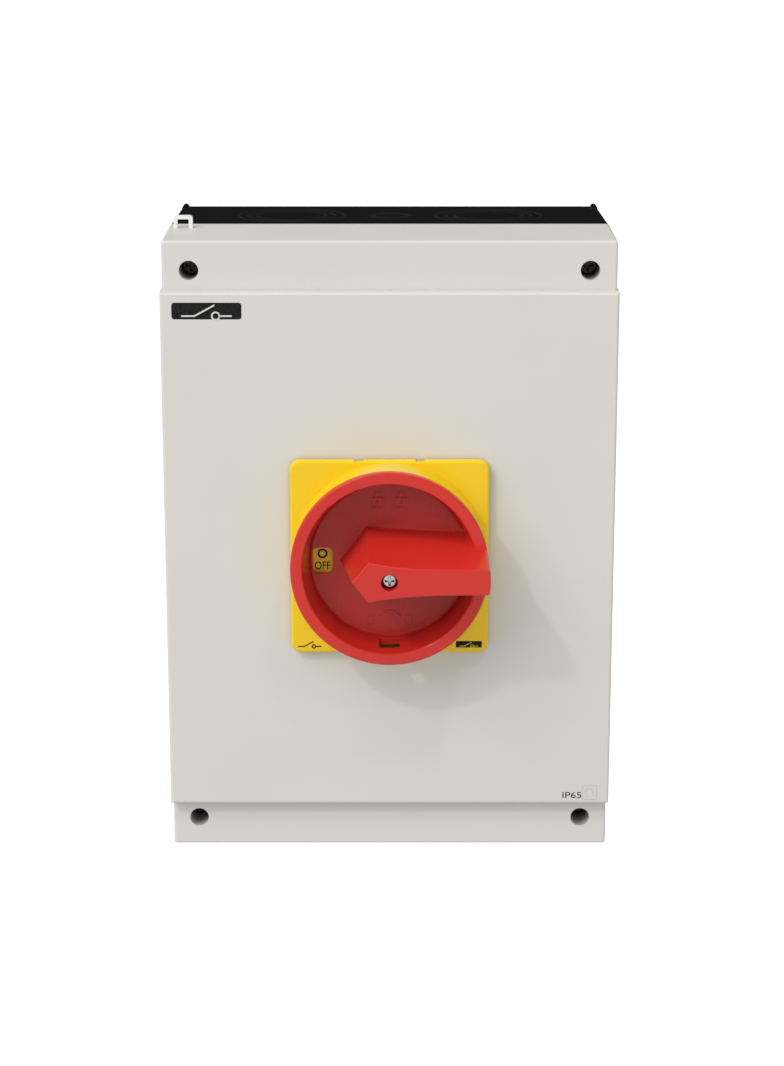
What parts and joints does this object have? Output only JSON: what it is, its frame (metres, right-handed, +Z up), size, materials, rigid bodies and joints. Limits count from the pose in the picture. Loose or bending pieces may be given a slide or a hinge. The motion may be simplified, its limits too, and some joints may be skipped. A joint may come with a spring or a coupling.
{
  "type": "rotary isolator switch",
  "caption": "Wall-mounted rotary isolator switch in a rectangular two-part plastic enclosure, with a padlockable red and yellow rotary handle.",
  "frame": {"origin": "centre of the enclosure's back face, on the wall", "axes": "+X to the right seen from the front, +Z up, +Y into the wall; the handle is on the -Y side"},
  "size_m": [0.2, 0.172, 0.2855],
  "materials": {
    "black_plastic": "fine textured black moulding",
    "grey_plastic": "fine textured pale grey moulding",
    "yellow_plastic": "satin yellow moulding",
    "red_plastic": "satin red moulding",
    "white_nylon": "white nylon",
    "black_screw": "black oxide steel",
    "zinc_steel": "zinc-plated steel",
    "spring_steel": "spring steel",
    "brass_metal": "turned brass",
    "copper_metal": "silver-tipped copper",
    "foam_seal": "closed-cell foam",
    "rubber_seal": "moulded rubber",
    "black_moulding": "glass-filled black moulding",
    "grey_moulding": "glass-filled grey moulding"
  },
  "bodies": {
    "enclosure": {"enclosure_base": "black_plastic", "cover_gasket": "foam_seal", "threaded_inserts": "brass_metal", "switch_back_plate": "black_moulding", "switch_mount_screws": "zinc_steel", "deck_housing_1": "grey_moulding", "deck_housing_2": "grey_moulding", "deck_housing_3": "grey_moulding", "fixed_contacts_line": "copper_metal", "fixed_contacts_load": "copper_metal", "latch_housing": "black_moulding", "latch_lid": "black_moulding", "latch_rollers": "zinc_steel", "latch_springs": "spring_steel", "tie_bolts": "zinc_steel", "terminal_clamps": "zinc_steel", "terminal_screws": "zinc_steel", "terminal_shroud_line": "grey_moulding", "terminal_shroud_load": "grey_moulding", "terminal_carriers": "white_nylon", "neutral_bar": "brass_metal", "earth_bar": "brass_metal", "busbar_screws": "zinc_steel"},
    "cover": {"enclosure_cover": "grey_plastic", "seal_loop": "white_nylon", "cover_screws": "black_screw", "cover_screw_seals": "rubber_seal", "front_plate": "yellow_plastic", "plate_gasket": "rubber_seal", "plate_screws": "zinc_steel", "shaft_seal": "rubber_seal", "locking_ring": "yellow_plastic"},
    "handle": {"handle": "red_plastic", "handle_washer": "zinc_steel", "handle_screw": "zinc_steel", "shaft_coupling": "black_moulding"},
    "rotor": {"drive_shaft": "zinc_steel", "rotor_disc_1": "black_moulding", "rotor_disc_2": "black_moulding", "rotor_disc_3": "black_moulding", "moving_contacts": "copper_metal", "latch_star": "white_nylon", "shaft_clip": "spring_steel"}
  },
  "joints": [
    {"name": "cover_lift", "type": "slide", "parent": "enclosure", "child": "cover", "axis": [0, -1, 0], "range_m": [0, 0.12]},
    {"name": "handle_turn", "type": "hinge", "parent": "cover", "child": "handle", "pos_m": [0, -0.125, 0], "axis": [0, 1, 0], "range_deg": [0, 90]},
    {"name": "rotor_turn", "type": "hinge", "parent": "enclosure", "child": "rotor", "pos_m": [0, -0.05, 0], "axis": [0, 1, 0], "range_deg": [0, 90]}
  ],
  "couplings": [
    {"joint": "rotor_turn", "follows": "handle_turn", "ratio": 1}
  ]
}
